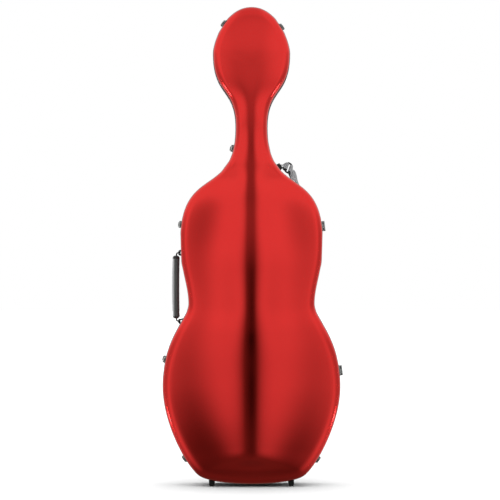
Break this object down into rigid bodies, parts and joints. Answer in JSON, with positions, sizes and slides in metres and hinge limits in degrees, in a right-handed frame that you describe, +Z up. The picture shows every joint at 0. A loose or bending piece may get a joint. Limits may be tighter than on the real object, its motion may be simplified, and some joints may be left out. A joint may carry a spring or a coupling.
{
  "type": "cello case",
  "caption": "Hard cello case standing on rubber feet, hourglass shell in two hinged halves with a ridge down the lid, draw latches round the rim, side handle and back strap.",
  "frame": {"origin": "floor level under the middle of the case, at the centre of its footprint", "axes": "+Z up, -Y is the front, where the lid faces, +X to the right of someone who looks at the lid"},
  "size_m": [0.5048, 0.2971, 1.33],
  "materials": {
    "red_lacquer": "glossy metallic red lacquer on moulded composite",
    "valance_aluminium": "satin grey extrusion",
    "latch_steel": "grey nickel, satin",
    "black_steel": "black, half gloss",
    "grip_leather": "black leather, fine grain",
    "grey_webbing": "woven nylon webbing",
    "foot_rubber": "matt black",
    "velour_lining": "dark grey short pile",
    "foam_padding": "dark grey velour over foam"
  },
  "bodies": {
    "base": {"base_liner": "velour_lining", "base_shell": "red_lacquer", "base_valance": "valance_aluminium", "end_block": "foam_padding", "handle_bracket_lower": "black_steel", "handle_bracket_upper": "black_steel", "hinge_leaf_base_lower": "latch_steel", "hinge_leaf_base_upper": "latch_steel", "latch_plate_bottom_left": "latch_steel", "latch_plate_bottom_right": "latch_steel", "latch_plate_head_left": "latch_steel", "latch_plate_head_right": "latch_steel", "latch_plate_lower_left": "latch_steel", "latch_plate_neck_left": "latch_steel", "latch_plate_upper_left": "latch_steel", "neck_cradle": "foam_padding", "neck_strap": "grey_webbing", "rear_foot_left": "foot_rubber", "rear_foot_right": "foot_rubber", "shoulder_pad_left": "foam_padding", "shoulder_pad_right": "foam_padding", "shoulder_strap": "grey_webbing", "strap_bracket_lower": "black_steel", "strap_bracket_upper": "black_steel", "strap_ring": "black_steel", "strap_tab": "grey_webbing"},
    "lid": {"bow_block": "foam_padding", "bow_pouch": "velour_lining", "front_foot_left": "foot_rubber", "front_foot_right": "foot_rubber", "hinge_leaf_lid_lower": "latch_steel", "hinge_leaf_lid_upper": "latch_steel", "latch_keeper_bottom_left": "latch_steel", "latch_keeper_bottom_right": "latch_steel", "latch_keeper_head_left": "latch_steel", "latch_keeper_head_right": "latch_steel", "latch_keeper_lower_left": "latch_steel", "latch_keeper_neck_left": "latch_steel", "latch_keeper_upper_left": "latch_steel", "lid_liner": "velour_lining", "lid_shell": "red_lacquer", "lid_valance": "valance_aluminium"},
    "handle": {"handle_bail": "black_steel", "handle_grip": "grip_leather"},
    "bow_button": {"bow_turn_button": "black_steel"},
    "lever_head_left": {"latch_lever_head_left": "latch_steel"},
    "hook_head_left": {"latch_hook_head_left": "latch_steel"},
    "lever_head_right": {"latch_lever_head_right": "latch_steel"},
    "hook_head_right": {"latch_hook_head_right": "latch_steel"},
    "lever_neck_left": {"latch_lever_neck_left": "latch_steel"},
    "hook_neck_left": {"latch_hook_neck_left": "latch_steel"},
    "lever_upper_left": {"latch_lever_upper_left": "latch_steel"},
    "hook_upper_left": {"latch_hook_upper_left": "latch_steel"},
    "lever_lower_left": {"latch_lever_lower_left": "latch_steel"},
    "hook_lower_left": {"latch_hook_lower_left": "latch_steel"},
    "lever_bottom_left": {"latch_lever_bottom_left": "latch_steel"},
    "hook_bottom_left": {"latch_hook_bottom_left": "latch_steel"},
    "lever_bottom_right": {"latch_lever_bottom_right": "latch_steel"},
    "hook_bottom_right": {"latch_hook_bottom_right": "latch_steel"}
  },
  "joints": [
    {"name": "lid_hinge", "type": "hinge", "parent": "base", "child": "lid", "pos_m": [0.24944, 0, 0.32058], "axis": [-0.1197, 0, 0.9928], "range_deg": [0, 180]},
    {"name": "latch_head_left", "type": "hinge", "parent": "base", "child": "lever_head_left", "pos_m": [-0.07939, 0.013, 1.28655], "axis": [0.5427, 0, 0.8399], "range_deg": [0, 100]},
    {"name": "hook_head_left", "type": "hinge", "parent": "lever_head_left", "child": "hook_head_left", "pos_m": [-0.07821, 0.0236, 1.28579], "axis": [0.5427, 0, 0.8399], "range_deg": [-120, 0]},
    {"name": "latch_head_right", "type": "hinge", "parent": "base", "child": "lever_head_right", "pos_m": [0.08546, 0.013, 1.27715], "axis": [0.5427, 0, -0.8399], "range_deg": [0, 100]},
    {"name": "hook_head_right", "type": "hinge", "parent": "lever_head_right", "child": "hook_head_right", "pos_m": [0.08428, 0.0236, 1.27639], "axis": [0.5427, 0, -0.8399], "range_deg": [-120, 0]},
    {"name": "latch_neck_left", "type": "hinge", "parent": "base", "child": "lever_neck_left", "pos_m": [-0.05519, 0.013, 0.93852], "axis": [0.2172, 0, 0.9761], "range_deg": [0, 100]},
    {"name": "hook_neck_left", "type": "hinge", "parent": "lever_neck_left", "child": "hook_neck_left", "pos_m": [-0.05382, 0.0236, 0.93822], "axis": [0.2172, 0, 0.9761], "range_deg": [-120, 0]},
    {"name": "latch_upper_left", "type": "hinge", "parent": "base", "child": "lever_upper_left", "pos_m": [-0.19975, 0.013, 0.72637], "axis": [0.1218, 0, 0.9926], "range_deg": [0, 100]},
    {"name": "hook_upper_left", "type": "hinge", "parent": "lever_upper_left", "child": "hook_upper_left", "pos_m": [-0.19836, 0.0236, 0.7262], "axis": [0.1218, 0, 0.9926], "range_deg": [-120, 0]},
    {"name": "latch_lower_left", "type": "hinge", "parent": "base", "child": "lever_lower_left", "pos_m": [-0.24366, 0.013, 0.3514], "axis": [0.2137, 0, 0.9769], "range_deg": [0, 100]},
    {"name": "hook_lower_left", "type": "hinge", "parent": "lever_lower_left", "child": "hook_lower_left", "pos_m": [-0.2423, 0.0236, 0.35111], "axis": [0.2137, 0, 0.9769], "range_deg": [-120, 0]},
    {"name": "latch_bottom_left", "type": "hinge", "parent": "base", "child": "lever_bottom_left", "pos_m": [-0.18781, 0.013, 0.0729], "axis": [-0.5327, 0, 0.8463], "range_deg": [0, 100]},
    {"name": "hook_bottom_left", "type": "hinge", "parent": "lever_bottom_left", "child": "hook_bottom_left", "pos_m": [-0.18663, 0.0236, 0.07364], "axis": [-0.5327, 0, 0.8463], "range_deg": [-120, 0]},
    {"name": "latch_bottom_right", "type": "hinge", "parent": "base", "child": "lever_bottom_right", "pos_m": [0.18624, 0.013, 0.0704], "axis": [-0.5327, 0, -0.8463], "range_deg": [0, 100]},
    {"name": "hook_bottom_right", "type": "hinge", "parent": "lever_bottom_right", "child": "hook_bottom_right", "pos_m": [0.18505, 0.0236, 0.07114], "axis": [-0.5327, 0, -0.8463], "range_deg": [-120, 0]},
    {"name": "handle_swing", "type": "hinge", "parent": "base", "child": "handle", "pos_m": [-0.2017, 0.04, 0.55], "axis": [0, 0, 1], "range_deg": [-38, 38]},
    {"name": "bow_button_turn", "type": "hinge", "parent": "lid", "child": "bow_button", "pos_m": [-0.089, -0.04645, 0.17], "axis": [0, 1, 0], "range_deg": [0, 90]}
  ],
  "couplings": [
    {"joint": "hook_head_left", "follows": "latch_head_left", "ratio": -1.2},
    {"joint": "hook_head_right", "follows": "latch_head_right", "ratio": -1.2},
    {"joint": "hook_neck_left", "follows": "latch_neck_left", "ratio": -1.2},
    {"joint": "hook_upper_left", "follows": "latch_upper_left", "ratio": -1.2},
    {"joint": "hook_lower_left", "follows": "latch_lower_left", "ratio": -1.2},
    {"joint": "hook_bottom_left", "follows": "latch_bottom_left", "ratio": -1.2},
    {"joint": "hook_bottom_right", "follows": "latch_bottom_right", "ratio": -1.2}
  ]
}
